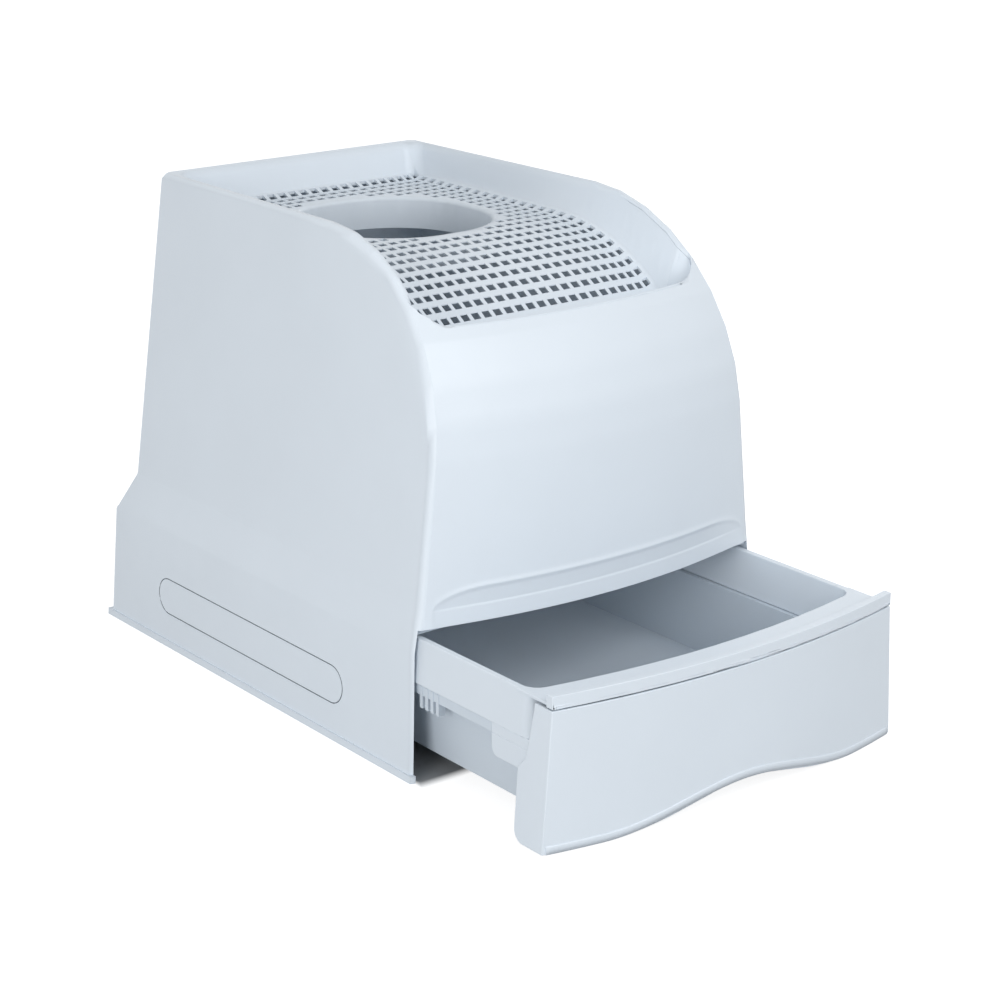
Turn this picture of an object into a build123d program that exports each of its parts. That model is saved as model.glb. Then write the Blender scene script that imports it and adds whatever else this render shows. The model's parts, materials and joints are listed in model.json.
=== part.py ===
# Top-entry litter box with a pull-out drawer, in millimetres.
# +Z is up, the drawer slides out towards -Y, and it is modelled partly open, as it rests.
# Depths are drawn from an upright line through the hood, and at the end every part is moved
# so that the origin is on the floor under the middle of the whole box.
import os
from math import asin, atan2, cos, degrees, hypot, sin, sqrt, tan

from build123d import *

# Hood: heights of the outline's corners, and its half widths and depth there
skirt_height = 121.0
shoulder_height = 163.0
rim_height = 470.0
foot_half_width = 208.0
skirt_half_width = 203.5
shoulder_half_back = 190.0
shoulder_half_front = 198.0
rim_half_back = 156.0
rim_half_front = 164.0
back_foot = 273.0
back_skirt = 262.0
back_shoulder = 237.0
back_rim = 220.0
section_front = -310.0

# Hood front: a leaning line, then one arc over the top, turned round a far upright axis
front_foot = -295.0
crown_centre = -102.0
crown_radius = 186.5
bow_radius = 693.0
axis_depth = 402.0
crown_chords = 8
corner_chords = 4
bow_chords = 10

# Hood walls and edges
hood_wall = 3.0
rim_bead = 8.0
edge_cut = 4.7
hem_height = 7.0
hem_lip = 2.0

# Front panel
panel_bottom = 142.5
panel_top = 400.0
panel_half_bottom = 192.0
panel_half_top = 166.0
mouth_half_top = 197.2
jog_top = 176.0
jog_bottom = 159.0
jog_depth = 4.0
jog_half_width = 184.0
bar_bottom = 137.5
bar_height = 21.0
bar_thickness = 4.0
bar_front = -258.6
bar_half_width = 196.5

# Perforated tray: a level floor that falls away to the front on an arc, a narrow shoulder, then leaning walls
tray_sheet = 2.5
tray_gap = 0.3
tray_level = 435.0
tray_top = 480.0
fall_start = -40.0
fall_radius = 240.0
gutter_level = 377.0
gutter_back = -197.0
tray_half_floor = 129.5
tray_floor_back = 186.5
shoulder_run = 12.0
shoulder_rise = 5.0
corner_cut = 11.7
corner_second_cut = 4.3
rim_width = 9.0
rim_side = 160.0
riser_front = -241.0
mouth_side = -226.0
mouth_corner_radius = 26.0
mouth_depth = -200.0

# Entry hole in the tray
entry_width = 184.0
entry_length = 187.0
entry_radius = 82.0
entry_centre = 46.0
entry_drop = 32.0
entry_flare = 4.0

# Perforations: rows an even step apart along the floor, and columns that close up towards the sides
row_pitch = 15.2
row_first = 148.8
row_count = 26
hole_length = 8.6
column_edge = 138.5
column_count = 24
column_squeeze_share = 0.66
hole_share = 0.66
entry_margin = 6.0

# Side covers: slot-shaped plates set in the skirt
cover_length = 330.0
cover_height = 40.0
cover_thickness = 2.2
cover_pocket = 1.5
cover_gap = 0.4
cover_middle = 8.5
cover_level = 54.0

# Rails inside the skirt
rail_front = -220.0
rail_back = 258.0
rail_leg_bottom = 36.0
rail_web_bottom = 62.0
rail_sheet = 3.0
rail_inner = 183.0
rail_top = 90.0
screw_places = (-170.0, 20.0, 210.0)
screw_level = 50.0
screw_head = 8.0
screw_head_height = 2.0
screw_shank = 4.0
screw_reach = 4.2
screw_gap = 0.3

# Litter pan
drawer_bow = 900.0
pan_half_top = 181.0
pan_bottom = 18.0
pan_top = 93.0
pan_front = -433.0
pan_back = 96.0
pan_taper = 5.0
pan_wall = 2.5
pan_corner = 24.0
flange_half_width = 197.0
flange_back = 108.0
flange_sheet = 3.0
lip_bottom = 83.0
lip_front = -367.0

# Rim frame that clips over the pan
band_half_width = 199.0
band_front = -440.0
band_back = 107.0
band_top = 134.0
band_corner = 14.0
band_taper = 5.6
frame_sheet = 2.5
mouth_half_width = 188.5
mouth_front = -431.0
mouth_end = 94.0
mouth_corner = 16.0
mouth_taper = 8.5
inner_skirt_bottom = 98.0
cap_front = -473.0
cap_half_width = 199.0
cap_bottom = 131.0
cap_top = 143.0
cap_thickness = 8.0
deck_back = -400.0
rib_count = 4
rib_pitch = 7.9
rib_width = 4.2
rib_first = -266.0
rib_bottom = 71.0
rib_inner = 190.5
rib_outer = 197.5
cheek_back = -367.0
cheek_front = -418.0

# Corner clips under the frame's front corners
clip_bottom = 62.0
clip_inner = 182.0
clip_radius = 8.0
clip_wall = 3.0

# Drawer front
front_half_foot = 208.0
front_half_top = 199.0
front_bottom = 1.0
front_top = 130.4
front_sheet = 3.0
return_back = -410.0
notch_low = 68.0
notch_mid = 79.0
notch_high = 124.0
notch_mid_depth = -420.0
notch_high_depth = -427.0
heel_radius = 12.0
arch_half_width = 150.0
arch_height = 22.0

far = 4 * rim_height
rest_middle = (cap_front + back_foot + hem_lip) / 2
mouth_back = -245.0
mouth_halves = (foot_half_width - hood_wall, skirt_half_width - hood_wall, mouth_half_top)
mouth_heights = (-hood_wall, skirt_height, panel_bottom)
hood_heights = (0, skirt_height, shoulder_height, rim_height)
back_halves = (foot_half_width, skirt_half_width, shoulder_half_back, rim_half_back)
front_halves = (foot_half_width, skirt_half_width, shoulder_half_front, rim_half_front)
back_depths = (back_foot, back_skirt, back_shoulder, back_rim)


def across(points, depth):
    """A face drawn in x and z, standing at the given depth."""
    plane = Plane(origin=(0, depth, 0), x_dir=(1, 0, 0), z_dir=(0, -1, 0))
    return plane * make_face(Polyline(*points, close=True))


def prism_across(points, front, back):
    """A prism drawn in x and z, from the front depth to the back depth."""
    return extrude(across(points, back), amount=back - front)


def prism_along(points, half_width):
    """A prism drawn in y and z, centred on the middle plane."""
    plane = Plane(origin=(-half_width, 0, 0), x_dir=(0, 1, 0), z_dir=(1, 0, 0))
    return extrude(plane * make_face(Polyline(*points, close=True)), amount=2 * half_width)


def slab(x0, x1, y0, y1, z0, z1):
    """A plain block between two corners."""
    return Pos(x0, y0, z0) * Box(x1 - x0, y1 - y0, z1 - z0, align=Align.MIN)


def both_sides(shape):
    """The shape on the right, with its mirror image on the left."""
    return shape, mirror(shape, about=Plane.YZ)


def mirrored(half_widths, heights):
    """A closed outline from half widths at rising heights."""
    right = list(zip(half_widths, heights))
    left = [(-x, z) for x, z in reversed(right)]
    return right + left


def hood_body(inset, low, top_drop):
    """The hood's outer form moved in by inset, as one solid block."""
    heights = (low, skirt_height, shoulder_height, rim_height - top_drop)
    drop = 1 - low / skirt_height
    back_row = [skirt_half_width + drop * (foot_half_width - skirt_half_width), *back_halves[1:]]
    front_row = [back_row[0], *front_halves[1:]]
    back = across(mirrored([w - inset for w in back_row], heights), back_foot + hood_wall)
    front = across(mirrored([w - inset for w in front_row], heights), section_front)
    block = loft([back, front], ruled=True)
    depths = [back_skirt + drop * (back_foot - back_skirt) - inset, *[d - inset for d in back_depths[1:]]]
    side = [(depths[0], low), (depths[1], skirt_height), (depths[2], shoulder_height)]
    side += [(depths[3], rim_height), (section_front, rim_height), (section_front, low)]
    block &= prism_along(side, foot_half_width + hood_wall)
    radius = crown_radius - inset
    centre_height = rim_height - crown_radius
    reach = hypot(crown_centre - front_foot, centre_height)
    lean = atan2(crown_centre - front_foot, centre_height) - asin(crown_radius / reach)
    arc = CenterArc((crown_centre, centre_height), radius, 90, 90 - degrees(lean))
    crown = [arc @ (k / crown_chords) for k in range(crown_chords + 1)]
    knee = crown[-1]
    foot = knee.X - (knee.Y - low) * tan(lean)
    rest = [(foot, low), (axis_depth, low), (axis_depth, centre_height + radius)]
    turn = Plane(origin=(0, 0, 0), x_dir=(0, 1, 0), z_dir=(1, 0, 0))
    profile = turn * make_face(Polyline(*crown, *rest, close=True))
    return block & revolve(profile, axis=Axis((0, axis_depth, 0), (0, 0, 1)))


def eased(body):
    """The hood's side edges cut back on a slant: over the front and top, then down the back corners."""
    def on_flank(edge):
        rises = abs((edge @ 0).Z - (edge @ 1).Z) > tray_gap
        return (edge @ 0).X * (edge @ 1).X > 0 and (rises or (edge @ 0).Z > rim_height - tray_gap)

    body = chamfer([e for e in body.edges() if on_flank(e) and (e @ 0.5).Y < rim_half_back], edge_cut)
    corners = [e for e in body.edges() if on_flank(e) and min((e @ 0).Y, (e @ 1).Y) > rim_half_back]
    return chamfer(corners, edge_cut)


def panel_region():
    """The space that the front panel takes out of the hood's front."""
    points = [
        (panel_half_bottom, panel_bottom), (panel_half_top, panel_top),
        (-panel_half_top, panel_top), (-panel_half_bottom, panel_bottom),
    ]
    return prism_across(points, section_front, mouth_depth)


def crest(y):
    """The hood's height and half width over its side edge at a depth."""
    reach = axis_depth - hypot(axis_depth - y, rim_side)
    drop = max(crown_centre - reach, 0)
    height = rim_height - crown_radius + sqrt(crown_radius ** 2 - drop ** 2)
    share = (height - shoulder_height) / (rim_height - shoulder_height)
    front = shoulder_half_front + share * (rim_half_front - shoulder_half_front)
    back = shoulder_half_back + share * (rim_half_back - shoulder_half_back)
    span = back_foot + hood_wall - section_front
    return height, front + (back - front) * (y - section_front) / span


def along_floor(reach):
    """The floor's depth and height, a distance forward of where it starts to fall."""
    turn = max(reach, 0) / fall_radius
    depth = fall_start - fall_radius * sin(turn) - min(reach, 0)
    return depth, tray_level - fall_radius * (1 - cos(turn))


def floor_line():
    """Depths and heights of the tray's floor from front to back, with a corner between each two rows."""
    steps = int(row_first / row_pitch)
    corners = [along_floor(row_first + (0.5 - k) * row_pitch) for k in range(steps + 1)]
    return [
        (section_front, gutter_level), (mouth_side, gutter_level), (gutter_back, gutter_level), *corners,
        (fall_start, tray_level), (back_rim, tray_level),
    ]


def trough(grow):
    """The space inside the tray, grown outwards by the given amount."""
    sections = []
    for y, z in floor_line():
        height, half = crest(max(y, mouth_side))
        foot = tray_half_floor + shoulder_run
        lean = (half - rim_width - foot) / (height - z - shoulder_rise)
        side = [
            (tray_half_floor, z - grow), (foot + grow, z + shoulder_rise - grow),
            (foot + grow + lean * (tray_top - z - shoulder_rise), tray_top),
        ]
        left = [(-x, level) for x, level in reversed(side)]
        sections.append(across(side + left, y))
    space = loft(sections, ruled=True)
    foot = tray_floor_back + shoulder_run
    lean = (back_rim - rim_width - foot) / (rim_height - tray_level - shoulder_rise)
    limits = [
        (section_front, 0), (tray_floor_back, 0), (tray_floor_back, tray_level - grow),
        (foot + grow, tray_level + shoulder_rise - grow),
        (foot + grow + lean * (tray_top - tray_level - shoulder_rise), tray_top),
        (section_front, tray_top),
    ]
    space &= prism_along(limits, foot_half_width)
    for cut in (corner_cut, corner_second_cut):
        corners = [
            edge for edge in space.edges()
            if (edge @ 0.5).Y > tray_floor_back and (edge @ 0).X * (edge @ 1).X > 0
            and abs((edge @ 0).Z - (edge @ 1).Z) > rim_bead
        ]
        space = chamfer(corners, cut)
    half = crest(riser_front)[1] - rim_width + grow
    front = riser_front - grow
    outline = bowed(half, front, back_foot, mouth_corner_radius, axis_depth - front)
    return space & raised(outline, 0, tray_top)


def mouth_edge():
    """The round-cornered cut that lowers the hood's front edge to the top of the front panel."""
    side = [(crest_half - rim_width, height) for height, crest_half in (crest(mouth_side), crest(mouth_depth))]
    slope = (side[1][0] - side[0][0]) / (side[1][1] - side[0][1])
    low = side[0][0] + slope * (panel_top - side[0][1])
    high = side[0][0] + slope * (tray_top - side[0][1])
    face = across([(low, panel_top), (high, tray_top), (-high, tray_top), (-low, panel_top)], mouth_depth)
    corners = [v for v in face.vertices() if v.Z < tray_level]
    face = fillet(corners, mouth_corner_radius)
    return extrude(face, amount=mouth_depth - section_front)


def column_places():
    """Middles and widths of the perforation columns, closer towards the sides."""
    half = column_count // 2
    steps = [1 - (1 - column_squeeze_share) * (k / half) ** 2 for k in range(half)]
    unit = column_edge / sum(steps)
    places = []
    edge = 0
    for step in steps:
        middle = edge + unit * step / 2
        width = unit * step * hole_share
        places += [(middle, width), (-middle, width)]
        edge += unit * step
    return places


def perforations():
    """All the perforations outside the entry hole, as one sketch."""
    holes = []
    keep_x = entry_width / 2 + entry_margin
    keep_y = entry_length / 2 + entry_margin
    inner = entry_radius + entry_margin
    for row in range(row_count):
        reach = row_first - row * row_pitch
        front = along_floor(reach + hole_length / 2)[0]
        back = along_floor(reach - hole_length / 2)[0]
        y = (front + back) / 2
        for x, width in column_places():
            dx = max(abs(x) - keep_x + inner, 0)
            dy = max(abs(y - entry_centre) - keep_y + inner, 0)
            beside = abs(x) > keep_x + width / 2 or abs(y - entry_centre) > keep_y + hole_length / 2
            if beside or hypot(dx, dy) > inner + width / 2:
                holes.append(Pos(x, y) * Rectangle(width, back - front))
    return Sketch() + holes


def skirt_plane():
    """The right-hand skirt's outer face: first axis back, second axis up."""
    lean = atan2(foot_half_width - skirt_half_width, skirt_height)
    return Plane(origin=(foot_half_width, 0, 0), x_dir=(0, 1, 0), z_dir=(cos(lean), 0, sin(lean)))


def cover_slot(grow):
    """The side cover's outline on the skirt."""
    height = cover_height + 2 * grow
    outline = SlotOverall(cover_length + 2 * grow, height)
    return skirt_plane() * (Pos(cover_middle, cover_level) * chorded(outline, 2 * height))


def screw_spots():
    """Where the rail screws go in, on the inside of the right-hand skirt."""
    return [skirt_plane() * Pos(y, screw_level, -hood_wall) for y in screw_places]


def hexagon(width, height):
    """A six-sided post that stands on the plan."""
    return extrude(RegularPolygon(width / 2, 6), amount=height)


def bowed(half_width, front, back, corner, bow=drawer_bow):
    """A plan outline with a bowed front, straight sides and rounded corners, drawn in chords."""
    sag = bow - sqrt(bow ** 2 - half_width ** 2)
    left = (-half_width, front + sag)
    right = (half_width, front + sag)
    arc = ThreePointArc(left, (0, front), right)
    rest = Polyline(right, (half_width, back), (-half_width, back), left)
    face = make_face(Curve() + [arc, rest])
    if corner:
        face = fillet(face.vertices(), corner)
    return chorded(face, half_width)


def chorded(face, long_side):
    """The same outline with each curve drawn as a few straight chords."""
    points = []
    for edge in face.face().outer_wire().order_edges():
        count = bow_chords if edge.length > long_side else corner_chords
        if edge.geom_type == GeomType.LINE:
            count = 1
        points += [edge @ (k / count) for k in range(count)]
    return make_face(Polyline(*points, close=True))


def raised(face, low, high, taper=0):
    """A plan outline raised between two heights."""
    return extrude(Pos(0, 0, low) * face, amount=high - low, dir=(0, 0, 1), taper=taper)


def lowered(face, high, low, taper=0):
    """A plan outline sunk from its upper height, narrowing by the taper."""
    flipped = Pos(0, 0, high) * face
    return extrude(flipped, amount=high - low, dir=(0, 0, -1), taper=taper)


def hood_skin():
    """The hood's outer form with its edges rounded, hollowed to a wall, before anything is cut out."""
    outer = eased(hood_body(0, 0, 0))
    inner = hood_body(hood_wall, -hood_wall, rim_bead)
    return outer - inner, inner


def build_hood(skin, inner):
    hem = hood_body(-hem_lip, 0, 0) & slab(-far, far, -far, far, 0, hem_height)
    shell = skin + (hem - inner)
    shell -= prism_across(mirrored(mouth_halves, mouth_heights), section_front, mouth_back)
    shell -= panel_region()
    shell -= mouth_edge()
    shell -= trough(0)
    for slot in both_sides(extrude(cover_slot(cover_gap), amount=-cover_pocket)):
        shell -= slot
    hole_depth = hood_wall - cover_pocket - screw_gap
    for spot in screw_spots():
        for hole in both_sides(spot * hexagon(screw_shank + 2 * screw_gap, hole_depth)):
            shell -= hole
    return shell


def build_front_panel(skin):
    panel = skin & panel_region()
    half = jog_half_width
    backing = bowed_ring(bow_radius - hood_wall, jog_depth)
    panel += backing & slab(-half, half, section_front, mouth_depth, panel_bottom, jog_top + jog_depth)
    corner_y = axis_depth - sqrt(bow_radius ** 2 - half ** 2)
    middle_y = axis_depth - bow_radius + jog_depth
    lens = make_face(Curve() + [
        ThreePointArc((-half, corner_y), (0, middle_y), (half, corner_y)),
        Polyline((half, corner_y), (half, section_front), (-half, section_front), (-half, corner_y)),
    ])
    slope = degrees(atan2(jog_depth, jog_top - jog_bottom))
    panel -= raised(lens, panel_bottom, jog_bottom)
    panel -= raised(lens, jog_bottom, jog_top + jog_depth, slope)
    return panel


def bowed_ring(radius, thickness):
    """An upright ring round the hood front's turning axis."""
    ring = Cylinder(radius, 2 * far) - Cylinder(radius - thickness, 2 * far)
    return Pos(0, axis_depth, 0) * ring


def build_crossbar(skin):
    bar_back = bar_front + bar_thickness
    bar = slab(-bar_half_width, bar_half_width, bar_front, bar_back, bar_bottom, bar_bottom + bar_height)
    return bar - skin


def build_tray():
    tray = trough(tray_sheet) - trough(0)
    tray &= hood_body(hood_wall + tray_gap, 0, rim_bead + tray_gap)
    tray -= mouth_edge()
    outline = RectangleRounded(entry_width, entry_length, entry_radius)
    collar = offset(outline, tray_sheet)
    mouth = Pos(0, entry_centre, tray_level)
    flare = degrees(atan2(entry_flare, entry_flare))
    tray += mouth * extrude(collar, amount=-entry_drop)
    tray += mouth * Pos(0, 0, -entry_flare - tray_sheet) * extrude(collar, amount=entry_flare, taper=-flare)
    tray -= mouth * Pos(0, 0, -tray_level) * extrude(outline, amount=tray_level)
    tray -= mouth * Pos(0, 0, -entry_flare) * extrude(outline, amount=2 * entry_flare, taper=-flare)
    tray -= extrude(perforations(), amount=rim_height)
    return tray


def build_side_cover():
    inwards = skirt_plane().z_dir * -cover_pocket
    return extrude(Pos(*inwards) * cover_slot(0), amount=cover_thickness)


def wall_x(height, inset):
    """The skirt's half width at a height, moved in by inset."""
    return foot_half_width - inset - height * (foot_half_width - skirt_half_width) / skirt_height


def build_rail():
    top_out = wall_x(rail_web_bottom + rail_sheet, hood_wall)
    low_out = wall_x(rail_leg_bottom, hood_wall)
    web_out = wall_x(rail_web_bottom, hood_wall)
    section = [
        (low_out - rail_sheet, rail_leg_bottom), (low_out, rail_leg_bottom),
        (top_out, rail_web_bottom + rail_sheet),
        (rail_inner + rail_sheet, rail_web_bottom + rail_sheet), (rail_inner + rail_sheet, rail_top),
        (rail_inner, rail_top), (rail_inner, rail_web_bottom), (web_out - rail_sheet, rail_web_bottom),
    ]
    rail = prism_across(section, rail_front, rail_back)
    for spot in screw_spots():
        rail -= spot * Pos(0, 0, -rail_sheet) * hexagon(screw_shank + 2 * screw_gap, rail_sheet)
    return rail


def build_rail_screws():
    screws = []
    for spot in screw_spots():
        seat = spot * Pos(0, 0, -rail_sheet)
        screws += both_sides(seat * (hexagon(screw_head, -screw_head_height) + hexagon(screw_shank, screw_reach)))
    return Compound(screws)


def build_pan():
    body = lowered(bowed(pan_half_top, pan_front, pan_back, pan_corner), pan_top, pan_bottom, pan_taper)
    small_corner = pan_corner - pan_wall
    inside = bowed(pan_half_top - pan_wall, pan_front + pan_wall, pan_back - pan_wall, small_corner)
    hollow = lowered(inside, pan_top, pan_bottom + pan_wall, pan_taper)
    edge = bowed(flange_half_width, pan_front - pan_wall, flange_back, pan_corner)
    flange = raised(edge, pan_top - flange_sheet, pan_top)
    lip_inside = bowed(flange_half_width - pan_wall, pan_front, flange_back - pan_wall, small_corner)
    lip = raised(edge, lip_bottom, pan_top) - raised(lip_inside, lip_bottom, pan_top)
    lip &= slab(-far, far, lip_front, pan_back, 0, pan_top)
    pan = body + flange + lip
    corner = slab(rib_inner - tray_gap, far, -far, lip_front + tray_gap, 0, pan_top)
    for cut in both_sides(corner):
        pan -= cut
    for index in range(rib_count):
        y = rib_first - index * rib_pitch
        half = rib_width / 2
        rib = slab(rib_inner, rib_outer, y - half, y + half, rib_bottom, pan_top - flange_sheet / 2)
        for side in both_sides(rib):
            pan += side
    return pan - hollow


def build_frame():
    sheet = frame_sheet
    outer = raised(bowed(band_half_width, band_front, band_back, band_corner), pan_top, band_top, band_taper)
    under = bowed(band_half_width - sheet, band_front + sheet, band_back - sheet, band_corner - sheet)
    outer -= raised(under, pan_top, band_top - sheet, band_taper)
    deck = raised(bowed_deck(cap_half_width - sheet, 0), band_top - sheet, band_top)
    mouth = bowed(mouth_half_width, mouth_front, mouth_end, mouth_corner)
    skirt = bowed(mouth_half_width + sheet, mouth_front - sheet, mouth_end + sheet, mouth_corner + sheet)
    frame = outer + deck + lowered(skirt, band_top, inner_skirt_bottom, mouth_taper)
    cap = raised(bowed_deck(cap_half_width, 0), cap_bottom, cap_top)
    behind = bowed_deck(cap_half_width + cap_thickness, cap_thickness)
    cap -= raised(behind, cap_bottom - cap_thickness, cap_top + cap_thickness)
    frame += cap
    for cheek in both_sides(slab(rib_inner, rib_outer, cheek_front, cheek_back, lip_bottom, pan_top)):
        frame += cheek
    return frame - lowered(mouth, band_top, inner_skirt_bottom - sheet, mouth_taper)


def bowed_deck(half_width, back_off):
    """The plan outline of the frame's front deck, its front edge set back by the given amount."""
    return bowed(half_width, cap_front + back_off, deck_back, 0)


def build_clip():
    clip = slab(clip_inner, rib_outer, cheek_front, cheek_back, clip_bottom, lip_bottom)
    low_back = [
        e for e in clip.edges()
        if abs((e @ 0.5).Y - cheek_back) < clip_wall and abs((e @ 0.5).Z - clip_bottom) < clip_wall
    ]
    clip = fillet(low_back, clip_radius)
    return clip - slab(
        clip_inner - clip_wall, rib_outer - clip_wall, cheek_front + clip_wall, cheek_back - clip_wall,
        clip_bottom + clip_wall, pan_top,
    )


def build_drawer_front():
    def lean(inset):
        return [
            (front_half_foot - inset, 0), (front_half_top - inset, front_top),
            (inset - front_half_top, front_top), (inset - front_half_foot, 0),
        ]
    plate = raised(bowed(front_half_foot, cap_front, return_back, 0), front_bottom, front_top)
    plate &= prism_across(lean(0), -far, far)
    back_face = bowed(front_half_foot, cap_front + front_sheet, return_back, 0)
    hollow = raised(back_face, 0, front_top + front_sheet)
    hollow &= prism_across(lean(front_sheet), -far, far)
    front = plate - hollow
    notch = [
        (return_back + front_sheet, notch_low), (return_back, notch_low), (notch_mid_depth, notch_mid),
        (notch_high_depth, notch_high), (notch_high_depth, front_top + front_sheet),
        (return_back + front_sheet, front_top + front_sheet),
    ]
    front -= prism_along(notch, far)
    wave = Plane(origin=(0, return_back, 0), x_dir=(1, 0, 0), z_dir=(0, -1, 0))
    curve = Spline(
        (-arch_half_width, front_bottom), (0, arch_height), (arch_half_width, front_bottom),
        tangents=[(1, 0), (1, 0)],
    )
    base = Polyline(
        (arch_half_width, front_bottom), (arch_half_width, -front_bottom),
        (-arch_half_width, -front_bottom), (-arch_half_width, front_bottom),
    )
    front -= extrude(wave * make_face(Curve() + [curve, base]), amount=far)
    heels = [
        e for e in front.edges()
        if abs((e @ 0.5).Y - return_back) < tray_gap and abs((e @ 0.5).Z - front_bottom) < tray_gap
    ]
    return fillet(heels, heel_radius)


def main():
    os.makedirs("parts", exist_ok=True)
    skin, inner = hood_skin()
    rail, rail_left = both_sides(build_rail())
    cover, cover_left = both_sides(build_side_cover())
    clip, clip_left = both_sides(build_clip())
    parts = {
        "hood_shell": build_hood(skin, inner),
        "front_panel": build_front_panel(skin),
        "crossbar": build_crossbar(skin),
        "top_tray": build_tray(),
        "side_cover_left": cover_left,
        "side_cover_right": cover,
        "rail_left": rail_left,
        "rail_right": rail,
        "rail_screws": build_rail_screws(),
        "litter_pan": build_pan(),
        "rim_frame": build_frame(),
        "drawer_front": build_drawer_front(),
        "corner_clip_left": clip_left,
        "corner_clip_right": clip,
    }
    for name, part in parts.items():
        export_step(Pos(0, -rest_middle, 0) * part, os.path.join("parts", name + ".step"))


if __name__ == "__main__":
    main()
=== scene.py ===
import json
import math

import bmesh
import bpy
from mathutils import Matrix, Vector

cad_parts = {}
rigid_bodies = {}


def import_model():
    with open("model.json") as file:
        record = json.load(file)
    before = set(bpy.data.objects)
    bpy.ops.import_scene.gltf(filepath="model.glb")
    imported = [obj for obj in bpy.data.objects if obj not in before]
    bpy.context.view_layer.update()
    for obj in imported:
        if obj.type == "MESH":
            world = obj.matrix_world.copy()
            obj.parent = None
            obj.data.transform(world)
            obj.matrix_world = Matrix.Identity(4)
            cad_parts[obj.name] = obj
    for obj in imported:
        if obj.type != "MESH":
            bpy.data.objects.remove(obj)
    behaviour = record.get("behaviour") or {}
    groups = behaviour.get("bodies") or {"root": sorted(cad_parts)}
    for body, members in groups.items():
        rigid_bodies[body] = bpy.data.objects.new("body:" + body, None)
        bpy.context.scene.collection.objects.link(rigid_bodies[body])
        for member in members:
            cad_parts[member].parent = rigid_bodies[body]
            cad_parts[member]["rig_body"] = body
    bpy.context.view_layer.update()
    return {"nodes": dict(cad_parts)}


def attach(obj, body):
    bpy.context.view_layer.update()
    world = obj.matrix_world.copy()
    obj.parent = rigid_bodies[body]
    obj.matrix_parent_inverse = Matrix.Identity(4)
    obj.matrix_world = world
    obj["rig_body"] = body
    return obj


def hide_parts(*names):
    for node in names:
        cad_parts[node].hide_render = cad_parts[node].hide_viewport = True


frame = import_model()
nodes = frame["nodes"]

# Camera: its place, how many degrees it looks down and turns to its right, and its lens and
# sensor in millimetres
camera_place = (-1.382, -1.796, 0.930)
camera_pitch = 18.3
camera_turn = 38.0
camera_lens = 88.9
camera_sensor = 36.0

# Soft boxes: place, target, side and power. The world adds even light of its own strength.
soft_boxes = {
    "key": ((0.4, -2.8, 2.2), (0, -0.1, 0.2), 1.6, 41),
    "fill": ((-2.7, -1.3, 0.7), (0, 0, 0.3), 1.2, 34),
    "side": ((2.6, 0.9, 1.1), (0, 0, 0.3), 1.8, 10),
}
world_light = 0.58

# Floor: half its side, its own colour and roughness, and the glow that makes it plain white to
# the camera. The hood has no bottom, so inside its foot the floor doesn't glow: across each axis
# there, the middle, the half width without glow and the half width where the full glow begins.
floor_half = 6.0
floor_colour = (0.36, 0.37, 0.38)
floor_roughness = 0.8
floor_glow = 0.86
hood_foot = {"X": (0.0, 0.200, 0.207), "Y": (0.095, 0.262, 0.275)}

# Colours as seen in even light, apart from the painted shade noted at two of them
shell_colour = (0.700, 0.765, 0.832)
# The pan's colour is darker than the shell's partly as painted shade for the drawer's dim inside
pan_colour_with_painted_shade = (0.610, 0.680, 0.752)
inner_colour = (0.560, 0.630, 0.700)
# Painted shade: the dark colour that lines the side covers' grooves stands for the shadow in them
groove_painted_shade_colour = (0.16, 0.19, 0.22)
steel_colour = (0.55, 0.56, 0.58)

# Roughness of each plastic, and the steel's from its smoothest to its roughest places
shell_roughness = 0.42
pan_roughness = 0.46
inner_roughness = 0.5
groove_painted_shade_roughness = 0.7
steel_roughness = (0.3, 0.45)

# Moulded plastic: how far its colour and roughness drift either way, its gloss, and how strong
# and deep its spark-eroded grain is
colour_drift = 0.012
roughness_drift = 0.03
plastic_ior = 1.49
plastic_specular = 0.4
grain_strength = 0.06
grain_depth = 0.0001

# Noises, each as scale and detail, and the middle range in which they mostly lie
cloud_noise = (9.0, 3.0)
smudge_noise = (34.0, 4.0)
grain_noise = (2600.0, 1.0)
turning_noise = (400.0, 2.0)
noise_low = 0.3
noise_high = 0.7

# Edges: how close corners lie that are joined, the bend up to which faces count as one flat
# stretch, the bend from which an edge is sharp and may be rounded, and that of single pieces
corner_distance = 5e-6
flat_bend = 0.4
sharp_bend = 55
hood_sharp_bend = 80
panel_sharp_bend = 50
pan_sharp_bend = 30
frame_sharp_bend = 30
rounding_steps = 2
frame_rounding = 0.0007
front_rounding = 0.0008

# The hood's crown, and the edge of the tray under its rim
crown_depth = -0.003
crown_level = 0.2835
lid_radius = 0.1832
lid_edge = 0.4617
lid_gap = 0.0004

# Tray: thickness and level of its perforated floor, the share of the thickness that is shown,
# and how the short edges through it are told: how upright, how straight, how exact in length
# and how far over the floor
tray_sheet = 0.0025
tray_floor = 0.435
thin_share = 0.45
through_upright = 0.7
through_straight = 0.0003
through_exact = 0.00035
through_above = 0.006

# Corners moved up or down: their level, how far from it they may lie, and by how much they rise
frame_band = (0.098, 0.0006, -0.0045)
front_top = (0.1304, 0.0003, -0.0008)

# Front panel: the axis and profile that it is turned from, and its outline
turning_depth = 0.501
front_foot_depth = -0.196
crown_radius = 0.1865
crown_chords = 8
chord_rows = 4
panel_top = 0.400
panel_bottom = 0.1425
panel_half_top = 0.166
panel_half_bottom = 0.192
panel_columns = 120

# Its inner side: its wall, thicker in a lip along the foot, and how far over the crown's centre
# the inner side starts to lie lower as well, by what share of the wall
panel_wall = 0.003
panel_lip = 0.007
panel_lip_top = 0.2
panel_drop_start = 0.05
panel_drop = 0.6

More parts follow.
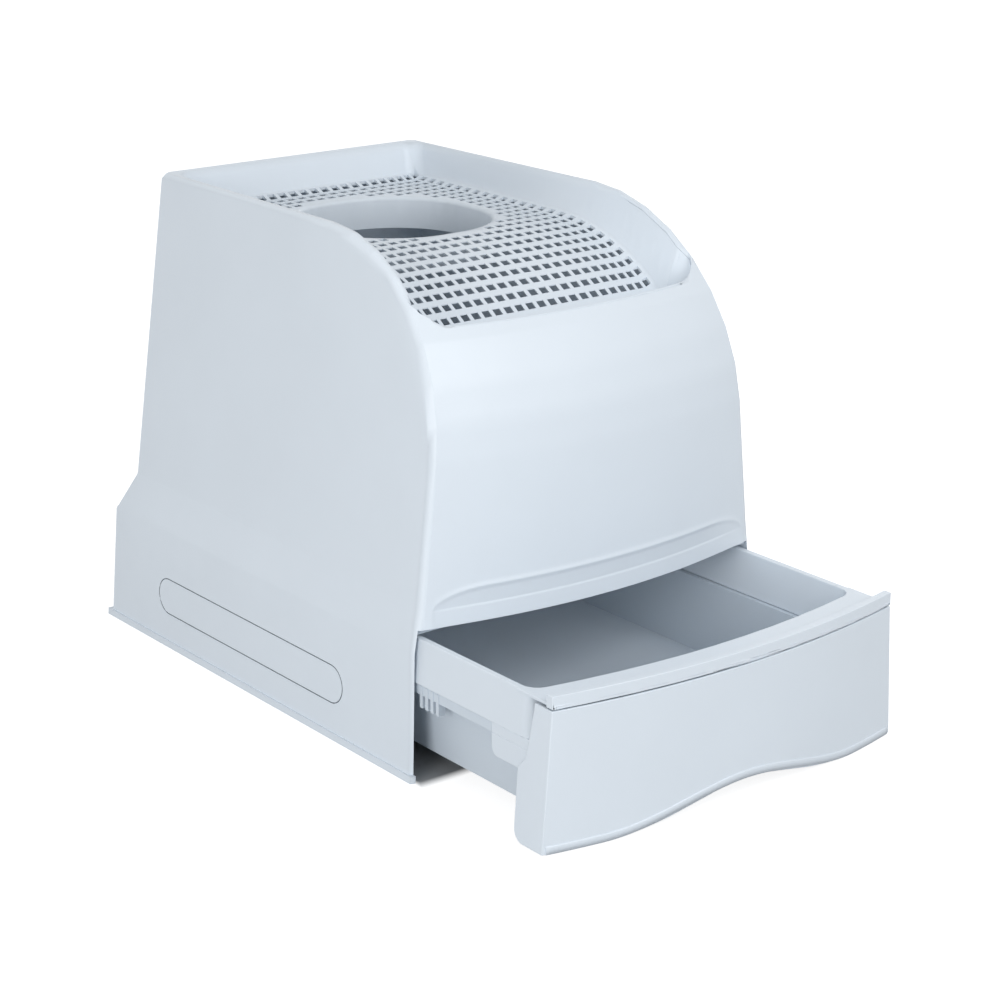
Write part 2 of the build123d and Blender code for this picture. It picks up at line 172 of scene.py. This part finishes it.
# The relief over its lower edge: a lens with straight middle and round ends, a ledge at its
# foot and a soft ridge along its crest, and the rows in which panel and relief are drawn
relief_half = 0.184
relief_straight = 0.130
relief_foot = 0.159
relief_height = 0.017
relief_least = 0.0005
relief_depth = 0.0022
relief_step = 0.0005
relief_ledge = 0.0012
relief_ridge = 0.0009
relief_soft = 0.0026
panel_wall_rows = (0.26, 0.24, 0.22, 0.2, 0.19)
relief_rows = 54
relief_row_top = 0.1856
relief_row_height = 0.0008

# Side covers: the leaning skirt, the cover's place and size on it, the steps of its round ends,
# its profile as growth and lift from inside the skin over the groove to the plate, and the
# profile's bands that line the groove, which take a dark colour as painted shade
skirt_foot = 0.208
skirt_lean = 4.5 / 121
cover_length = 0.330
cover_height = 0.040
cover_middle = 0.1075
cover_level = 0.054
cover_steps = 20
cover_profile = (
    (0.0024, -0.0016), (0.0024, -0.0002), (0.0019, 0.0001), (-0.0003, 0.0002),
    (-0.0010, 0.0001), (-0.0011, -0.0004), (-0.0020, -0.0004), (-0.0021, 0.0001),
    (-0.0027, 0.0003),
)
painted_shade_bands = (4, 5, 6)

# Drawer front: its face, the arch of its lower edge, and the bead along that edge with its
# profile as height and how far it stands proud of the face
front_face = -0.374
front_bow = 0.900
front_foot = 0.001
arch_half_width = 0.150
arch_height = 0.021
hem_half_width = 0.2045
hem_steps = 96
hem_profile = (
    (0.0, -0.0006), (0.0, 0.0004), (0.0066, 0.0007), (0.0074, 0.0004), (0.0078, -0.0006),
)


def new_material(name):
    """A new node material, its node tree and its shader."""
    material = bpy.data.materials.new(name)
    material.use_nodes = True
    return material, material.node_tree, material.node_tree.nodes["Principled BSDF"]


def noise(tree, scale, detail):
    """A noise in the object's own coordinates."""
    place = tree.nodes.new("ShaderNodeTexCoord")
    texture = tree.nodes.new("ShaderNodeTexNoise")
    texture.inputs["Scale"].default_value = scale
    texture.inputs["Detail"].default_value = detail
    tree.links.new(place.outputs["Object"], texture.inputs["Vector"])
    return texture.outputs["Fac"]


def mapped(tree, source, low, high, first, last):
    """The source's range from low to high mapped on to values from first to last."""
    mapper = tree.nodes.new("ShaderNodeMapRange")
    mapper.inputs["From Min"].default_value = low
    mapper.inputs["From Max"].default_value = high
    mapper.inputs["To Min"].default_value = first
    mapper.inputs["To Max"].default_value = last
    tree.links.new(source, mapper.inputs["Value"])
    return mapper.outputs["Result"]


def reckoned(tree, operation, *sources):
    """The outcome of one operation on its sources, each an output or a number."""
    node = tree.nodes.new("ShaderNodeMath")
    node.operation = operation
    for socket, source in zip(node.inputs, sources):
        if isinstance(source, float):
            socket.default_value = source
        else:
            tree.links.new(source, socket)
    return node.outputs["Value"]


def moulded_plastic(name, colour, roughness):
    """Satin moulded plastic: a faint drift of colour and gloss over a fine spark-eroded grain."""
    material, tree, shader = new_material(name)
    ramp = tree.nodes.new("ShaderNodeValToRGB")
    dark, light = ramp.color_ramp.elements
    dark.position, light.position = noise_low, noise_high
    dark.color = (*[c * (1 - colour_drift) for c in colour], 1)
    light.color = (*[c * (1 + colour_drift) for c in colour], 1)
    tree.links.new(noise(tree, *cloud_noise), ramp.inputs["Fac"])
    tree.links.new(ramp.outputs["Color"], shader.inputs["Base Color"])
    gloss = mapped(
        tree, noise(tree, *smudge_noise), noise_low, noise_high,
        roughness - roughness_drift, roughness + roughness_drift,
    )
    tree.links.new(gloss, shader.inputs["Roughness"])
    bump = tree.nodes.new("ShaderNodeBump")
    bump.inputs["Strength"].default_value = grain_strength
    bump.inputs["Distance"].default_value = grain_depth
    tree.links.new(noise(tree, *grain_noise), bump.inputs["Height"])
    tree.links.new(bump.outputs["Normal"], shader.inputs["Normal"])
    shader.inputs["IOR"].default_value = plastic_ior
    shader.inputs["Specular IOR Level"].default_value = plastic_specular
    return material


def zinc_steel(name):
    """Zinc-plated screw steel with fine turning marks."""
    material, tree, shader = new_material(name)
    gloss = mapped(tree, noise(tree, *turning_noise), noise_low, noise_high, *steel_roughness)
    tree.links.new(gloss, shader.inputs["Roughness"])
    shader.inputs["Base Color"].default_value = (*steel_colour, 1)
    shader.inputs["Metallic"].default_value = 1.0
    return material


def in_scene(name, data):
    """A new object in the scene."""
    thing = bpy.data.objects.new(name, data)
    bpy.context.scene.collection.objects.link(thing)
    return thing


def as_piece(form, name, material):
    """The form as an object in the given material."""
    mesh = bpy.data.meshes.new(name)
    form.to_mesh(mesh)
    form.free()
    mesh.materials.append(material)
    return in_scene(name, mesh)


def dress(name, material):
    """A CAD node shown as it is, in the given material."""
    mesh = nodes[name].data
    mesh.materials.clear()
    mesh.materials.append(material)
    for polygon in mesh.polygons:
        polygon.material_index = 0


def stand_for(form, name, material, rounding=0.0, sharp=sharp_bend):
    """A piece made from the form, smooth over its soft edges, that stands for a node."""
    form.normal_update()
    for face in form.faces:
        face.smooth = True
    for line in form.edges:
        whole = len(line.link_faces) == 2
        line.smooth = whole and line.calc_face_angle() < math.radians(sharp)
    piece = as_piece(form, name + "_moulded", material)
    if rounding:
        bevel = piece.modifiers.new("edge", "BEVEL")
        bevel.width = rounding
        bevel.segments = rounding_steps
        bevel.limit_method = "ANGLE"
        bevel.angle_limit = math.radians(sharp_bend)
        bevel.use_clamp_overlap = False
    weigh = piece.modifiers.new("shade", "WEIGHTED_NORMAL")
    weigh.keep_sharp = True
    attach(piece, nodes[name]["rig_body"])
    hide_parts(name)
    return piece


def joined(name):
    """A node's form with the corners that its faces share joined."""
    form = bmesh.new()
    form.from_mesh(nodes[name].data)
    bmesh.ops.remove_doubles(form, verts=form.verts, dist=corner_distance)
    return form


def flat_faces_whole(form):
    """The form's flat stretches without the triangles that divide them."""
    bmesh.ops.dissolve_limit(
        form, angle_limit=math.radians(flat_bend), verts=form.verts, edges=form.edges
    )
    return form


def shift_level(form, level, reach, rise):
    """The form with the corners that lie at one level moved up or down."""
    for vert in form.verts:
        if abs(vert.co.z - level) < reach:
            vert.co.z += rise
    return form


def close_lid_seam(form):
    """The tray's upper edge raised the last fraction of a millimetre, up to the hood's rim."""
    for vert in form.verts:
        reach = Vector((0, vert.co.y - crown_depth, max(vert.co.z - crown_level, 0)))
        if vert.co.y < crown_depth and abs(reach.length - lid_radius) < lid_gap:
            vert.co += reach.normalized() * lid_gap
        elif abs(vert.co.z - lid_edge) < lid_gap:
            vert.co.z += lid_gap
    return form


def thin_sheet(form):
    """The tray with its perforated floor thinner, so that the openings look through."""
    moves = {}
    for line in form.edges:
        high, low = sorted(line.verts, key=lambda v: -v.co.z)
        way = low.co - high.co
        upright = abs(way.z) > through_upright * way.length and abs(way.x) < through_straight
        through = upright and abs(way.length - tray_sheet) < through_exact
        if through and high.co.z < tray_floor + through_above:
            moves[low] = high.co + way * (thin_share * tray_sheet / way.length)
    for vert, place in moves.items():
        vert.co = place
    return form


def crown_corners():
    """The crown's corners in the middle of the hood, as depth and height, and the wall's lean."""
    centre = Vector((crown_depth, crown_level))
    depth = crown_depth - front_foot_depth
    reach = Vector((depth, crown_level)).length
    lean = math.atan2(depth, crown_level) - math.asin(crown_radius / reach)
    quarter = math.radians(90)
    turns = [quarter + (quarter - lean) * k / crown_chords for k in range(crown_chords + 1)]
    return [centre + crown_radius * Vector((math.cos(t), math.sin(t))) for t in turns], lean


def panel_profile():
    """The front panel's profile from its top down: distance from its upright axis, and height."""
    corners, lean = crown_corners()
    points = []
    for first, second in zip(corners, corners[1:]):
        if second.y < panel_top:
            start = first.lerp(second, max((first.y - panel_top) / (first.y - second.y), 0))
            points += [start.lerp(second, k / chord_rows) for k in range(chord_rows)]
    knee = corners[-1]
    heights = [knee.y, *panel_wall_rows]
    heights += [relief_row_top - relief_row_height * k for k in range(relief_rows)]
    heights.append(panel_bottom)
    points += [Vector((knee.x - (knee.y - z) * math.tan(lean), z)) for z in heights]
    return [(turning_depth - point.x, point.y) for point in points]


def relief(x, z):
    """How far the front panel lies inside its plain face: a long lens over its lower edge."""
    share = min(max((abs(x) - relief_straight) / (relief_half - relief_straight), 0), 1)
    full = math.sqrt(1 - share ** 2)
    crest = relief_foot + relief_height * full
    ridge = relief_ridge * full * math.exp(-(((z - crest) / relief_soft) ** 2))
    if z >= crest:
        return -ridge
    if z > relief_foot:
        return relief_depth * full * (crest - z) / max(crest - relief_foot, relief_least) - ridge
    step = min((relief_foot - z) / relief_ledge, 1)
    return (relief_depth - relief_step * step) * full - ridge


def panel_point(x, radius, z, inside):
    """A point on the front panel's face, or on its inner side."""
    drop = 0
    if not inside:
        inward = relief(x, z)
    else:
        inward = panel_wall if z > panel_lip_top else panel_lip
        if z > crown_level + panel_drop_start:
            drop = panel_drop * inward
    return x, turning_depth - math.sqrt((radius - inward) ** 2 - x ** 2), z - drop


def front_panel():
    """The bowed front panel with its relief, as a closed form."""
    form = bmesh.new()
    profile = panel_profile()
    rows = []
    for inside in (False, True):
        for radius, z in profile:
            share = (z - panel_bottom) / (panel_top - panel_bottom)
            half = panel_half_bottom + share * (panel_half_top - panel_half_bottom)
            turns = [math.pi * (k / panel_columns - 0.5) for k in range(panel_columns + 1)]
            places = [panel_point(half * math.sin(turn), radius, z, inside) for turn in turns]
            rows.append([form.verts.new(place) for place in places])
    count = len(profile)
    face_rows, inner_rows = rows[:count], rows[count:]
    pairs = list(zip(face_rows, face_rows[1:]))
    pairs += zip(inner_rows[1:], inner_rows)
    pairs += [(inner_rows[0], face_rows[0]), (face_rows[-1], inner_rows[-1])]
    for first, second in pairs:
        for k in range(panel_columns):
            form.faces.new((first[k], first[k + 1], second[k + 1], second[k]))
    for k in range(count - 1):
        for column in (0, panel_columns):
            around = face_rows[k], face_rows[k + 1], inner_rows[k + 1], inner_rows[k]
            form.faces.new([row[column] for row in around])
    bmesh.ops.recalc_face_normals(form, faces=form.faces)
    return form


def slot_loop(length, height):
    """A slot's outline in its own plane: two half circles joined by straight runs."""
    radius = height / 2
    run = length / 2 - radius
    turns = [math.pi * (k / cover_steps - 0.5) for k in range(cover_steps + 1)]
    right = [(run + radius * math.cos(t), radius * math.sin(t)) for t in turns]
    return right + [(-y, -z) for y, z in right]


def side_cover(sign):
    """A side cover with a fine groove all round it, lined with painted shade, set flush in the
    leaning skirt.
    """
    form = bmesh.new()
    lean = math.atan2(skirt_lean, 1)
    out = Vector((sign * math.cos(lean), 0, math.sin(lean)))
    up = Vector((-sign * math.sin(lean), 0, math.cos(lean)))
    along = Vector((0, 1, 0))
    foot = Vector((sign * skirt_foot, 0, 0))
    loops = []
    for grow, lift in cover_profile:
        outline = slot_loop(cover_length + 2 * grow, cover_height + 2 * grow)
        loops.append([
            form.verts.new(foot + along * (cover_middle + y) + up * (cover_level + z) + out * lift)
            for y, z in outline
        ])
    # The bands that line the groove take the second material, a dark painted shade
    for band, (first, second) in enumerate(zip(loops, loops[1:])):
        for k in range(len(first)):
            after = (k + 1) % len(first)
            face = form.faces.new((first[k], first[after], second[after], second[k]))
            face.material_index = int(band in painted_shade_bands)
    form.faces.new(loops[-1])
    form.faces.new(loops[0])
    bmesh.ops.recalc_face_normals(form, faces=form.faces)
    return form


def hem_point(x, height, proud):
    """A point over the drawer front's arched lower edge, proud of its bowed face."""
    depth = front_face + front_bow - math.sqrt(front_bow ** 2 - x ** 2)
    share = min(abs(x) / arch_half_width, 1)
    arch = arch_height * (1 - share ** 2 * (3 - 2 * share))
    return Vector((x, depth, front_foot + arch + height)) + Vector((0, -proud, 0))


def add_front_hem():
    """The thin bead along the drawer front's lower edge."""
    form = bmesh.new()
    rows = []
    for step in range(hem_steps + 1):
        x = hem_half_width * (2 * step / hem_steps - 1)
        rows.append([form.verts.new(hem_point(x, height, proud)) for height, proud in hem_profile])
    last = len(hem_profile) - 1
    for first, second in zip(rows, rows[1:]):
        for k in range(len(first)):
            face = form.faces.new((first[k], second[k], second[k - last], first[k - last]))
            face.smooth = k < last
    form.faces.new(rows[0])
    form.faces.new(rows[-1])
    bmesh.ops.recalc_face_normals(form, faces=form.faces)
    piece = as_piece(form, "drawer_front_hem", shell)
    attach(piece, "drawer")


def seen_white(tree):
    """1 for what the camera sees, straight or in glass and gloss, and 0 for light on the box."""
    path = tree.nodes.new("ShaderNodeLightPath").outputs
    straight = reckoned(tree, "MAXIMUM", path["Is Camera Ray"], path["Is Transmission Ray"])
    return reckoned(tree, "MAXIMUM", straight, path["Is Glossy Ray"])


def beyond(tree, axis, middle, inner_edge, outer_edge):
    """From 0 within a strip across one axis to 1 beyond it."""
    place = tree.nodes.new("ShaderNodeTexCoord")
    split = tree.nodes.new("ShaderNodeSeparateXYZ")
    tree.links.new(place.outputs["Object"], split.inputs["Vector"])
    off = reckoned(tree, "SUBTRACT", split.outputs[axis], middle)
    return mapped(tree, reckoned(tree, "ABSOLUTE", off), inner_edge, outer_edge, 0.0, 1.0)


def add_floor():
    """A pale floor that the camera sees as plain white, with the box's soft shadow."""
    mesh = bpy.data.meshes.new("floor")
    corners = [(-1, -1), (1, -1), (1, 1), (-1, 1)]
    mesh.from_pydata([(x * floor_half, y * floor_half, 0) for x, y in corners], [], [(0, 1, 2, 3)])
    material, tree, shader = new_material("floor_white")
    shader.inputs["Base Color"].default_value = (*floor_colour, 1)
    shader.inputs["Roughness"].default_value = floor_roughness
    strips = [beyond(tree, axis, *strip) for axis, strip in hood_foot.items()]
    level = reckoned(tree, "MULTIPLY", reckoned(tree, "MAXIMUM", *strips), floor_glow)
    glow = reckoned(tree, "MULTIPLY", seen_white(tree), level)
    shader.inputs["Emission Color"].default_value = (1, 1, 1, 1)
    tree.links.new(glow, shader.inputs["Emission Strength"])
    mesh.materials.append(material)
    in_scene("floor", mesh)


def add_world():
    """Even pale light, and plain white where the camera looks past everything."""
    world = bpy.data.worlds.new("studio")
    world.use_nodes = True
    bpy.context.scene.world = world
    tree = world.node_tree
    background = tree.nodes["Background"]
    background.inputs["Color"].default_value = (1, 1, 1, 1)
    strength = mapped(tree, seen_white(tree), 0.0, 1.0, world_light, 1.0)
    tree.links.new(strength, background.inputs["Strength"])


def add_soft_box(name, place, target, size, power):
    """A square soft box that faces its target."""
    light = bpy.data.lights.new(name, "AREA")
    light.shape = "SQUARE"
    light.size = size
    light.energy = power
    holder = in_scene(name, light)
    holder.location = place
    aim = Vector(target) - Vector(place)
    holder.rotation_euler = aim.to_track_quat("-Z", "Y").to_euler()


def add_camera():
    """The camera at the photograph's viewing angle."""
    data = bpy.data.cameras.new("camera")
    data.lens = camera_lens
    data.sensor_width = camera_sensor
    camera = in_scene("camera", data)
    camera.location = camera_place
    camera.rotation_euler = (math.radians(90 - camera_pitch), 0, math.radians(-camera_turn))
    bpy.context.scene.camera = camera


shell = moulded_plastic("shell_plastic", shell_colour, shell_roughness)
# The pan's plastic is darker partly as painted shade for the drawer's dim inside
pan = moulded_plastic("pan_plastic", pan_colour_with_painted_shade, pan_roughness)
inner = moulded_plastic("inner_plastic", inner_colour, inner_roughness)
steel = zinc_steel("screw_steel")
# Painted shade: dark plastic for the shadow in the side covers' grooves
groove = moulded_plastic("joint_shade", groove_painted_shade_colour, groove_painted_shade_roughness)

# The hood, its lid and its front
stand_for(joined("hood_shell"), "hood_shell", shell, sharp=hood_sharp_bend)
stand_for(thin_sheet(close_lid_seam(joined("top_tray"))), "top_tray", shell)
stand_for(front_panel(), "front_panel", shell, sharp=panel_sharp_bend)

# The drawer
banded_frame = shift_level(joined("rim_frame"), *frame_band)
stand_for(banded_frame, "rim_frame", shell, frame_rounding, frame_sharp_bend)
lowered_front = flat_faces_whole(shift_level(joined("drawer_front"), *front_top))
stand_for(lowered_front, "drawer_front", shell, front_rounding)
for name in ("corner_clip_left", "corner_clip_right"):
    stand_for(flat_faces_whole(joined(name)), name, shell, front_rounding)
stand_for(joined("litter_pan"), "litter_pan", pan, sharp=pan_sharp_bend)

# Trim
for sign, name in ((-1, "side_cover_left"), (1, "side_cover_right")):
    # Each cover's second material is the groove's painted shade
    stand_for(side_cover(sign), name, shell).data.materials.append(groove)
add_front_hem()

# Pieces that the hood hides
for name in ("crossbar", "rail_left", "rail_right"):
    dress(name, inner)
dress("rail_screws", steel)

add_floor()
add_world()
for name, soft_box in soft_boxes.items():
    add_soft_box(name, *soft_box)
add_camera()
bpy.context.scene.view_settings.view_transform = "Standard"
